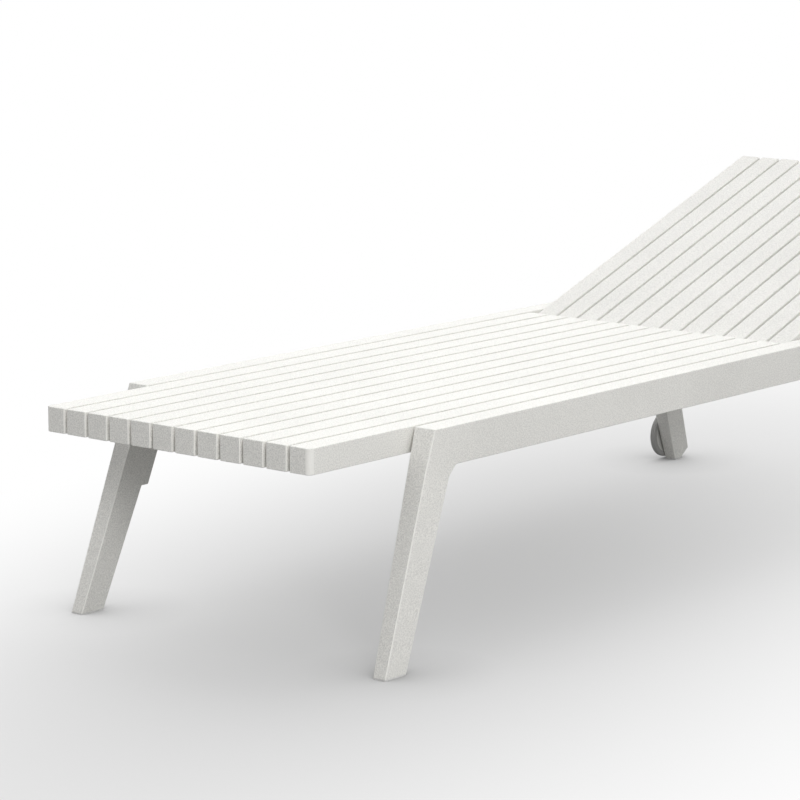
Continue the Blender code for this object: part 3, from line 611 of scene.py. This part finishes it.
def model_rails():
    low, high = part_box("seat_rail_1")
    rail = add_block("looks_seat_rail_1", low, high)
    open_tube(rail)
    for index in (2, 3, 4):
        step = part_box(f"seat_rail_{index}")[0][1] - low[1]
        fit(copy_across(rail, f"looks_seat_rail_{index}", (0, step, 0)), "base", "white_powder_coat")
    fit(rail, "base", "white_powder_coat")
    head = add_block("looks_head_rail", *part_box("head_rail"))
    open_tube(head)
    fit(head, "base", "white_powder_coat")
    middle = PROP_PIVOT[0] - BRACKET_HALF - CLEARANCE - BACK_RAIL_HALF - BACK_RAIL_SPACING
    top = -BACK_SLAT_DEPTH / 2 - CLEARANCE
    for name, centre in (("lower", 0.055), ("middle", middle), ("upper", BACK_LENGTH - 0.088)):
        rail = add_block(f"looks_back_rail_{name}",
                         (-BED_HALF, centre - BACK_RAIL_HALF, top - BACK_RAIL_DEPTH),
                         (BED_HALF, centre + BACK_RAIL_HALF, top))
        open_tube(rail)
        fit(place_on_back(rail), "back", "white_powder_coat")


# Side frames

def front_leg(z):
    """Section of the front leg at a height: inner x, outer x, front y, rear y."""
    share = (BEAM_LOW - z) / BEAM_LOW
    front = FRONT_LEG["front"] - FRONT_LEG["rake"] * share
    inner = FRONT_LEG["inner"] - FRONT_LEG["inner_lean"] * z / BED_TOP
    return inner, BEAM_OUTER + FRONT_LEG["splay"] * share, front, front + LEG_DEPTH - LEG_TAPER * share


def rear_leg(z):
    """Section of the rear leg at a height: inner x, outer x, front y, rear y."""
    share = (BEAM_LOW - z) / BEAM_LOW
    front = REAR_LEG["front"] + REAR_LEG["rake"] * share
    inner = BEAM_INNER + REAR_LEG["inner_lean"] * share
    return inner, BEAM_OUTER + REAR_LEG["splay"] * share, front, front + LEG_DEPTH - LEG_TAPER * share


def chosen_box(piece):
    """Range of the selected points along X, Y and Z."""
    mesh = bmesh.from_edit_mesh(piece.data)
    places = [point.co for point in mesh.verts if point.select]
    return [(min(place[i] for place in places), max(place[i] for place in places)) for i in range(3)]


def draw_leg_down(piece, section, z):
    """Extrudes the selected end of a leg to its next section."""
    x, y, now = chosen_box(piece)
    inner, outer, front, rear = section
    goal = Vector(((inner + outer) / 2, (front + rear) / 2, z))
    start = Vector((sum(x) / 2, sum(y) / 2, now[0]))
    scale = ((outer - inner) / (x[1] - x[0]), (rear - front) / (y[1] - y[0]), 1)
    draw_out(goal - start, scale, goal)


def model_side_frames():
    side = add_block("looks_side_frame_right", (BEAM_INNER, NOSE_Y, BEAM_LOW),
                     (BEAM_OUTER, BEAM_END, BED_TOP))
    work_on(side)
    for y in (FRONT_GUSSET_Y, BLEND_Y, REAR_GUSSET_Y, REAR_ROOT_Y):
        bpy.ops.mesh.select_all(action="SELECT")
        bpy.ops.mesh.bisect(plane_co=(0, y, 0), plane_no=(0, 1, 0))
    choose_points(side, lambda place: near(place.y, NOSE_Y) and near(place.z, BEAM_LOW))
    shift((0, front_leg(BEAM_LOW)[2] - NOSE_Y, 0))
    choose_points(side, lambda place: place.y < FRONT_GUSSET_Y + 0.001 and near(place.z, BEAM_LOW)
                  and near(place.x, BEAM_INNER))
    shift((front_leg(BEAM_LOW)[0] - BEAM_INNER, 0, 0))
    choose_faces(side, lambda middle, normal: normal.z < -0.9 and middle.y < FRONT_GUSSET_Y)
    for z in (GUSSET_LOW, FLANGE_TOP):
        draw_leg_down(side, front_leg(z), z)
    choose_faces(side, lambda middle, normal: normal.z < -0.9 and REAR_GUSSET_Y < middle.y < REAR_ROOT_Y
                 and near(middle.z, BEAM_LOW))
    for z in (GUSSET_LOW, HEEL_Z):
        draw_leg_down(side, rear_leg(z), z)
    inner, outer, front, rear = rear_leg(FLANGE_TOP)
    draw_leg_down(side, (inner, outer, front, rear - HEEL_RUN), FLANGE_TOP)
    bpy.ops.mesh.select_all(action="SELECT")
    bpy.ops.mesh.remove_doubles(threshold=0.00002)
    choose_edges(side, lambda middle, way: abs(way.x) > 0.99 and gusset_corner(middle))
    bevel_chosen(FRAME_HOLLOW, 3)
    bpy.ops.mesh.select_all(action="SELECT")
    bpy.ops.mesh.remove_doubles(threshold=0.0002)
    face_outwards()
    round_folds(side, FRAME_EDGE, 3, lambda middle: near(middle.z, FLANGE_TOP))
    shoulder = shape_shoulder()
    round_edges(shoulder, FRAME_EDGE)
    select_only(shoulder, side)
    bpy.ops.object.join()
    open_ends(side)
    fit_pair(side, "base", "white_powder_coat")


def gusset_corner(middle):
    """The hollow corners where the legs run into the beam."""
    high = near(middle.z, BEAM_LOW, 0.001) and (near(middle.y, FRONT_GUSSET_Y, 0.001)
                                                 or near(middle.y, REAR_GUSSET_Y, 0.001))
    low = near(middle.z, GUSSET_LOW, 0.001) and (near(middle.y, front_leg(GUSSET_LOW)[3], 0.001)
                                                  or near(middle.y, rear_leg(GUSSET_LOW)[2], 0.001))
    return high or low or (near(middle.z, BEAM_LOW, 0.001) and near(middle.y, REAR_ROOT_Y, 0.001))


def shape_shoulder():
    """Thickening behind the front leg's inner half, which ends in a ledge.

    It is a shell of its own, as good as flush with the leg that it stands in.
    """
    top_y, top_z = SHOULDER_TOP
    shoulder = add_block("shoulder", (0, top_y - 0.03, LEDGE_Z), (SHOULDER_THICKNESS, top_y, top_z))
    work_on(shoulder, "VERT")
    for z in (LEDGE_Z, top_z):
        choose_points(shoulder, lambda place, z=z: near(place.z, z))
        shift((front_leg(z)[0] + SHOULDER_STEP, 0, 0))
    choose_points(shoulder, lambda place: near(place.z, LEDGE_Z))
    shift((0, LEDGE_Y - top_y, 0))
    face_outwards()
    return shoulder


def open_ends(side):
    """Hollows the beam's head end and the front foot, where the plugs go in."""
    work_on(side)
    choose_faces(side, lambda middle, normal: normal.y > 0.9 and near(middle.y, BEAM_END))
    bpy.ops.mesh.inset(thickness=PLUG_LIP)
    draw_out((0, -0.018, 0))
    choose_faces(side, lambda middle, normal: normal.z < -0.9 and near(middle.z, FLANGE_TOP)
                 and middle.y < FRONT_GUSSET_Y)
    bpy.ops.mesh.inset(thickness=PLUG_LIP)
    draw_out((0, 0.004, 0.014))
    face_outwards()


def shape_glide(name, section, run_back):
    """Flat pad under a foot, flush with the leg above it."""
    inner, outer, front, rear = section
    glide = add_block(name, (inner, front, 0), (outer, rear - run_back, FLANGE_TOP - 0.0001))
    work_on(glide)
    choose_edges(glide, lambda middle, way: abs(way.z) > 0.9)
    bevel_chosen(FRAME_EDGE, 3)
    choose_edges(glide, lambda middle, way: near(middle.z, 0))
    bevel_chosen(0.0003, 2)
    face_outwards()
    return glide


def model_feet():
    glide = shape_glide("looks_front_glide_right", front_leg(FLANGE_TOP / 2), 0)
    work_on(glide)
    choose_faces(glide, lambda middle, normal: normal.z > 0.9)
    bpy.ops.mesh.inset(thickness=0.0032)
    draw_out((0, 0.0035, 0.009))
    face_outwards()
    fit_pair(glide, "base", "grey_nylon")
    fit_pair(shape_glide("looks_rear_glide_right", rear_leg(FLANGE_TOP / 2), HEEL_RUN), "base", "grey_nylon")


def model_beam_caps():
    cap = add_block("looks_beam_cap_right", (BEAM_INNER, BEAM_END + CLEARANCE, BEAM_LOW),
                    (BEAM_OUTER, CAP_END, BED_TOP))
    round_edges(cap, 0.0012)
    work_on(cap)
    choose_faces(cap, lambda middle, normal: normal.y < -0.9)
    bpy.ops.mesh.inset(thickness=0.0019)
    draw_out((0, -0.012, 0))
    face_outwards()
    fit_pair(cap, "base", "white_powder_coat")


def model_bumpers():
    low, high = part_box("bumper_right")
    x, y = (low[0] + high[0]) / 2, (low[1] + high[1]) / 2
    pad = add_post("looks_bumper_right", 40, 0.009, x, y, low[2], high[2])
    work_on(pad)
    choose_edges(pad, lambda middle, way: near(middle.z, high[2], 1e-5))
    bevel_chosen(0.002, 5)
    face_outwards()
    fit_pair(pad, "base", "grey_rubber")


# Hinge and prop

def model_hinge():
    pin = add_round("looks_hinge_pin_right", 40, HINGE_PIN_RADIUS, 0.2615, 0.297, HINGE[1], HINGE[2])
    round_edges(pin, 0.0006, 2)
    fit_pair(pin, "base", "zinc_steel")
    bush = add_round("looks_hinge_bush_right", 40, BUSH_RADIUS, BED_HALF + CLEARANCE, BEAM_INNER - CLEARANCE,
                     HINGE[1], HINGE[2])
    work_on(bush)
    choose_faces(bush, lambda middle, normal: normal.x < -0.9)
    bpy.ops.mesh.inset(thickness=0.003)
    draw_out((-0.008, 0, 0))
    bpy.ops.mesh.inset(thickness=0.0017)
    choose_faces(bush, lambda middle, normal: normal.x > 0.9)
    bpy.ops.mesh.inset(thickness=0.0047)
    choose_faces(bush, lambda middle, normal: abs(normal.x) > 0.9 and near(middle.y, HINGE[1])
                 and near(middle.z, HINGE[2]))
    bpy.ops.mesh.bridge_edge_loops()
    face_outwards()
    round_edges(bush, 0.0004, 2)
    fit_pair(bush, "back", "grey_nylon")


def rod_seat(angle):
    """Y of the foot rod on the rack when the back stands at this angle."""
    along, drop = PROP_PIVOT[0], -PROP_PIVOT[1]
    tilt = math.asin((along * math.sin(angle) + drop * (1 - math.cos(angle))) / PROP_LENGTH)
    return HINGE[1] + along * math.cos(angle) + drop * math.sin(angle) + PROP_LENGTH * math.cos(tilt)


def model_racks():
    crest = HINGE[2] + PROP_PIVOT[1] - ROD_RADIUS - ROD_LIFT
    low, root, radius = BEAM_LOW + CLEARANCE, crest - NOTCH_DEPTH, NOTCH_RADIUS
    seats = sorted(rod_seat(angle) for angle in NOTCH_ANGLES)
    outline = [(seats[0] - RACK_MARGINS[0], low), (seats[0] - RACK_MARGINS[0], crest)]
    for seat in seats:
        outline.append((seat - radius - NOTCH_RAMP, crest))
        for step in range(9):
            angle = math.radians(200 + 20 * step)
            outline.append((seat + radius * math.cos(angle), root + radius + radius * math.sin(angle)))
        outline.append((seat + radius, crest))
    outline += [(seats[-1] + RACK_MARGINS[1], crest), (seats[-1] + RACK_MARGINS[1], low)]
    x0 = BEAM_INNER - RACK_THICKNESS - CLEARANCE
    rack = trace("looks_rack_right", [(x0, y, z) for y, z in outline], RACK_THICKNESS)
    round_edges(rack, 0.0005, 2)
    fit_pair(rack, "base", "zinc_steel")


def model_bail():
    """Two flat arms with eyes, the foot rod between them, and a weld bead on each side of an arm."""
    arm = add_block("looks_prop_bail", (PROP_ARM_X - ARM_HALF, -ARM_RADIUS, -ARM_RADIUS),
                    (PROP_ARM_X + ARM_HALF, PROP_LENGTH + ARM_RADIUS, ARM_RADIUS))
    work_on(arm)
    choose_edges(arm, lambda middle, way: abs(way.x) > 0.9)
    bevel_chosen(ARM_RADIUS - 0.00001, 8)
    face_outwards()
    cut_or_weld(arm, add_round("drill", 32, PIN_BORE, PROP_ARM_X - 0.01, PROP_ARM_X + 0.01, 0, 0))
    round_edges(arm, 0.0006, 2)
    cut_or_weld(arm, mirror_across(arm, "left_arm"), "UNION")
    rod = add_round("rod", 40, ROD_RADIUS, -ROD_HALF, ROD_HALF, PROP_LENGTH, 0)
    round_edges(rod, 0.001)
    cut_or_weld(arm, rod, "UNION")
    for x in (-PROP_ARM_X, PROP_ARM_X):
        for side in (-ARM_HALF, ARM_HALF):
            select_only()
            bpy.ops.mesh.primitive_torus_add(major_segments=40, minor_segments=10, major_radius=0.0052,
                                             minor_radius=0.0011, rotation=(0, math.pi / 2, 0),
                                             location=(x + side, PROP_LENGTH, 0))
            select_only(settle(bpy.context.object), arm)
            bpy.ops.object.join()
    pivot = Vector(HINGE) + turned_on_back(PROP_PIVOT)
    arm.rotation_euler = (-PROP_TILT, 0, 0)
    arm.location = pivot
    fit(settle(arm), "prop", "white_powder_coat")


def turned_on_back(place):
    y, z = place
    return Vector((0, y * math.cos(BACK_ANGLE) - z * math.sin(BACK_ANGLE),
                   y * math.sin(BACK_ANGLE) + z * math.cos(BACK_ANGLE)))


def model_brackets():
    inner, outer = 0.0037, 0.0057
    top = -BACK_SLAT_DEPTH / 2 - CLEARANCE
    web, low = top - 0.002, PROP_PIVOT[1] - ARM_RADIUS
    y0, y1 = PROP_PIVOT[0] - BRACKET_HALF, PROP_PIVOT[0] + BRACKET_HALF
    bracket = add_block("looks_prop_bracket_right", (PROP_ARM_X - outer, y0, web),
                        (PROP_ARM_X + outer, y1, top))
    work_on(bracket)
    for x in (-inner, inner):
        bpy.ops.mesh.select_all(action="SELECT")
        bpy.ops.mesh.bisect(plane_co=(PROP_ARM_X + x, 0, 0), plane_no=(1, 0, 0))
    choose_faces(bracket, lambda middle, normal: normal.z < -0.9 and abs(middle.x - PROP_ARM_X) > inner)
    draw_out((0, 0, low - web))
    choose_edges(bracket, lambda middle, way: abs(way.x) > 0.9 and near(middle.z, low))
    bevel_chosen(0.0075, 5)
    face_outwards()
    drill = add_round("drill", 32, PIN_BORE, PROP_ARM_X - 0.02, PROP_ARM_X + 0.02, *PROP_PIVOT)
    cut_or_weld(bracket, drill)
    round_edges(bracket, 0.0004, 2)
    place_on_back(bracket)
    fit_pair(bracket, "back", "white_powder_coat")
    half = 0.006
    pin = add_round("looks_prop_pin_right", 32, PIN_RADIUS, PROP_ARM_X - half, PROP_ARM_X + half, *PROP_PIVOT)
    work_on(pin)
    for way in (-1, 1):
        choose_faces(pin, lambda middle, normal, way=way: normal.x * way > 0.9
                     and near(middle.x, PROP_ARM_X + way * half))
        centre = (PROP_ARM_X + way * half, *PROP_PIVOT)
        draw_out((0, 0, 0), (1, 1.6, 1.6), centre)
        draw_out((way * 0.0005, 0, 0))
        draw_out((way * 0.0005, 0, 0), (1, 0.75, 0.75), centre)
    face_outwards()
    place_on_back(pin)
    fit_pair(pin, "back", "zinc_steel")


# Wheels

def model_wheels():
    disc = add_round("looks_wheel_right", 72, DISC_RADIUS, WHEEL_INNER + 0.001, WHEEL_OUTER - 0.001,
                     AXLE_Y, AXLE_Z)
    axis = (0, AXLE_Y, AXLE_Z)
    work_on(disc)
    for way, hub_rise, bore_depth in ((1, 0.0035, 0.0033), (-1, 0.0032, 0.0)):
        choose_faces(disc, lambda middle, normal, way=way: normal.x * way > 0.9)
        bpy.ops.mesh.inset(thickness=0.0032)
        draw_out((-way * 0.0025, 0, 0), (1, 0.985, 0.985), axis)
        bpy.ops.mesh.inset(thickness=0.0184)
        draw_out((way * hub_rise, 0, 0), (1, 0.97, 0.97), axis)
        bpy.ops.mesh.inset(thickness=0.0055 if way > 0 else 0.0087)
        if bore_depth:
            draw_out((-way * bore_depth, 0, 0))
            bpy.ops.mesh.inset(thickness=0.0031)
    choose_faces(disc, lambda middle, normal: abs(normal.x) > 0.9 and near(middle.y, AXLE_Y)
                 and near(middle.z, AXLE_Z))
    bpy.ops.mesh.bridge_edge_loops()
    face_outwards()
    round_edges(disc, 0.0005, 2)
    fit_pair(disc, "wheel_assembly_right", "grey_nylon", "wheel_assembly_left")
    tyre = add_round("looks_tyre_right", 72, TYRE_RADIUS, WHEEL_INNER, WHEEL_OUTER, AXLE_Y, AXLE_Z)
    work_on(tyre)
    choose_faces(tyre, lambda middle, normal: abs(normal.x) > 0.9)
    bpy.ops.mesh.inset(thickness=TYRE_DEPTH, use_individual=True)
    bpy.ops.mesh.bridge_edge_loops()
    choose_edges(tyre, lambda middle, way: abs(way.x) < 0.1
                 and math.hypot(middle.y - AXLE_Y, middle.z - AXLE_Z) > TYRE_RADIUS - 0.002)
    bevel_chosen(0.0032, 5)
    face_outwards()
    fit_pair(tyre, "wheel_assembly_right", "grey_rubber", "wheel_assembly_left")


def model_axles():
    face = WHEEL_INNER - 0.001
    bolt = add_round("looks_wheel_axle_right", 40, AXLE_RADIUS, face - 0.018, WHEEL_OUTER - BOLT_HEAD,
                     AXLE_Y, AXLE_Z)
    work_on(bolt)
    choose_faces(bolt, lambda middle, normal: normal.x > 0.9)
    draw_out((0, 0, 0), (1, 1.75, 1.75), (WHEEL_OUTER - BOLT_HEAD, AXLE_Y, AXLE_Z))
    draw_out((0.0024, 0, 0))
    draw_out((0.0006, 0, 0), (1, 0.9, 0.9), (WHEEL_OUTER, AXLE_Y, AXLE_Z))
    face_outwards()
    cut_or_weld(bolt, add_round("key", 6, 0.0035, WHEEL_OUTER - 0.002, WHEEL_OUTER + 0.01, AXLE_Y, AXLE_Z))
    fit_pair(bolt, "base", "zinc_steel")


# Studio

def set_camera():
    data = bpy.data.cameras.new("camera")
    data.lens = LENS_MM
    data.sensor_width = SENSOR_MM
    data.clip_end = 60.0
    camera = bpy.data.objects.new("camera", data)
    bpy.context.scene.collection.objects.link(camera)
    camera.location = CAMERA_PLACE
    camera.rotation_euler = (math.pi / 2 - CAMERA_ELEVATION, 0.0, CAMERA_AZIMUTH)
    bpy.context.scene.camera = camera


def hang_sun(name, strength, spread, towards):
    """Soft light that comes from a direction, the same everywhere on the floor."""
    data = bpy.data.lights.new(name, "SUN")
    data.energy = strength
    data.angle = spread
    light = bpy.data.objects.new(name, data)
    bpy.context.scene.collection.objects.link(light)
    light.location = Vector(towards) * 4
    light.rotation_euler = Vector(towards).to_track_quat("Z", "Y").to_euler()


def hang_softbox(name, power, place, target, size):
    """Square lamp that stands at a place and is turned to a target."""
    data = bpy.data.lights.new(name, "AREA")
    data.shape = "RECTANGLE"
    data.size, data.size_y = size
    data.energy = power
    light = bpy.data.objects.new(name, data)
    bpy.context.scene.collection.objects.link(light)
    light.location = place
    light.rotation_euler = (Vector(target) - Vector(place)).to_track_quat("-Z", "Y").to_euler()


def seen_rays(tree, place):
    """1 for rays that show the background: camera, glossy and transmission rays."""
    path = add_node(tree, "ShaderNodeLightPath", (place[0] - 400, place[1]))
    first = add_node(tree, "ShaderNodeMath", (place[0] - 200, place[1]), operation="MAXIMUM")
    both = add_node(tree, "ShaderNodeMath", place, operation="MAXIMUM")
    tree.links.new(path.outputs["Is Camera Ray"], first.inputs[0])
    tree.links.new(path.outputs["Is Glossy Ray"], first.inputs[1])
    tree.links.new(first.outputs[0], both.inputs[0])
    tree.links.new(path.outputs["Is Transmission Ray"], both.inputs[1])
    return both.outputs[0]


def make_floor_paint():
    """Pale grey near the lounger, running out to white further off: a painted white glow, weaker in an oval
    round the lounger as painted shade, over lit grey with a painted contact shadow.
    """
    material = bpy.data.materials.new("studio_floor")
    material.use_nodes = True
    tree = material.node_tree
    tree.nodes.remove(tree.nodes["Principled BSDF"])
    output = tree.nodes["Material Output"]
    bounce = add_node(tree, "ShaderNodeBsdfDiffuse", (0, -200), Color=(*FLOOR_BOUNCE, 1))
    shadow = add_node(tree, "ShaderNodeBsdfDiffuse", (0, 0))
    # Painted contact shadow: ambient occlusion darkens the floor's seen colour and thins its glow near the
    # feet and under the lounger
    painted_contact_shade = add_node(tree, "ShaderNodeAmbientOcclusion", (-300, 0), Color=(*FLOOR_SHOWN, 1),
                       Distance=CONTACT_REACH)
    share = add_node(tree, "ShaderNodeMath", (0, 300), operation="MULTIPLY")
    # Painted glow: the floor shines for the rays that see it, less in the oval round the lounger, where it is
    # left as painted shade
    glow = add_node(tree, "ShaderNodeEmission", (0, 150), Strength=1.0)
    where = add_node(tree, "ShaderNodeTexCoord", (-900, 300))
    centred = add_node(tree, "ShaderNodeMapping", (-700, 300))
    centred.vector_type = "TEXTURE"
    centred.inputs["Location"].default_value = (*FADE_CENTRE, 0)
    centred.inputs["Rotation"].default_value = (0, 0, FADE_TURN)
    centred.inputs["Scale"].default_value = (1, 1 / FADE_STRETCH, 1)
    reach = add_node(tree, "ShaderNodeVectorMath", (-500, 300), operation="LENGTH")
    fade = add_node(tree, "ShaderNodeMapRange", (-300, 300), interpolation_type="SMOOTHSTEP")
    fade.inputs["From Min"].default_value, fade.inputs["From Max"].default_value = FADE_REACH
    fade.inputs["To Min"].default_value, fade.inputs["To Max"].default_value = FADE_GLOW
    shown = add_node(tree, "ShaderNodeMixShader", (250, 80))
    mixed = add_node(tree, "ShaderNodeMixShader", (500, 0))
    tree.links.new(where.outputs["Object"], centred.inputs["Vector"])
    tree.links.new(centred.outputs["Vector"], reach.inputs[0])
    tree.links.new(reach.outputs["Value"], fade.inputs["Value"])
    tree.links.new(painted_contact_shade.outputs["Color"], shadow.inputs["Color"])
    tree.links.new(fade.outputs["Result"], share.inputs[0])
    tree.links.new(painted_contact_shade.outputs["AO"], share.inputs[1])
    tree.links.new(share.outputs[0], shown.inputs["Fac"])
    tree.links.new(shadow.outputs[0], shown.inputs[1])
    tree.links.new(glow.outputs[0], shown.inputs[2])
    tree.links.new(seen_rays(tree, (250, -350)), mixed.inputs["Fac"])
    tree.links.new(bounce.outputs[0], mixed.inputs[1])
    tree.links.new(shown.outputs[0], mixed.inputs[2])
    tree.links.new(mixed.outputs[0], output.inputs["Surface"])
    return material


def lay_floor():
    select_only()
    bpy.ops.mesh.primitive_plane_add(size=60.0)
    floor = bpy.context.object
    floor.name = "studio_floor"
    floor.data.materials.append(make_floor_paint())


def paint_world():
    """White where it is seen, and no light of its own."""
    world = bpy.data.worlds.new("studio")
    world.use_nodes = True
    tree = world.node_tree
    dark = tree.nodes["Background"]
    dark.inputs["Color"].default_value = (1.0, 1.0, 1.0, 1.0)
    dark.inputs["Strength"].default_value = 0.0
    white = add_node(tree, "ShaderNodeBackground", (0, -200), Color=(1, 1, 1, 1), Strength=1.0)
    mixed = add_node(tree, "ShaderNodeMixShader", (250, 0))
    tree.links.new(seen_rays(tree, (0, 250)), mixed.inputs["Fac"])
    tree.links.new(dark.outputs[0], mixed.inputs[1])
    tree.links.new(white.outputs[0], mixed.inputs[2])
    tree.links.new(mixed.outputs[0], tree.nodes["World Output"].inputs["Surface"])
    bpy.context.scene.world = world


def set_studio():
    bpy.context.scene.view_settings.view_transform = "Standard"
    paint_world()
    for name, *lamp in SUNS:
        hang_sun(name, *lamp)
    for name, *lamp in SOFTBOXES:
        hang_softbox(name, *lamp)
    lay_floor()


set_camera()
set_studio()
FINISHES = make_finishes()
model_seat()
model_back_slats()
model_rails()
model_side_frames()
model_feet()
model_beam_caps()
model_bumpers()
model_hinge()
model_racks()
model_bail()
model_brackets()
model_wheels()
model_axles()
